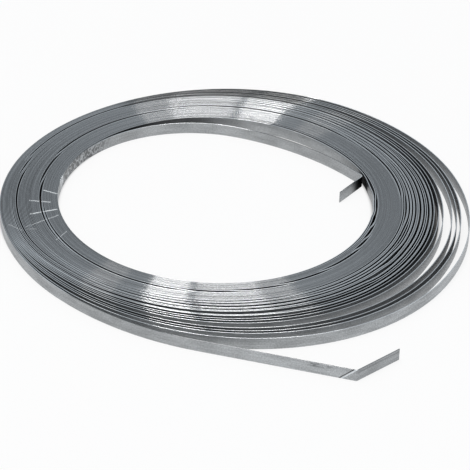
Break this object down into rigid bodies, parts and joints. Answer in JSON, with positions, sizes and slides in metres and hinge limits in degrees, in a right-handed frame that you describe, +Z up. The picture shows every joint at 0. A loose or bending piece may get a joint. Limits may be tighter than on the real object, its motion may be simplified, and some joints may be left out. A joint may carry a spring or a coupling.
{
  "type": "stainless steel strip",
  "caption": "Flat coil of stainless steel strip lying on its end, wound tight inside and sprung loose outside, with a bent tail at the outer end and a bent tab in the bore.",
  "frame": {"origin": "middle of the coil's outline with its tail, on the floor that it lies on", "axes": "+Z up along the bore's axis, +Y from the tail's bend towards the back of the coil, +X to the right as the picture shows it"},
  "size_m": [0.3794, 0.4163, 0.01],
  "materials": {
    "steel": "satin"
  },
  "bodies": {
    "root": {"strip_coil": "steel"}
  },
  "joints": []
}
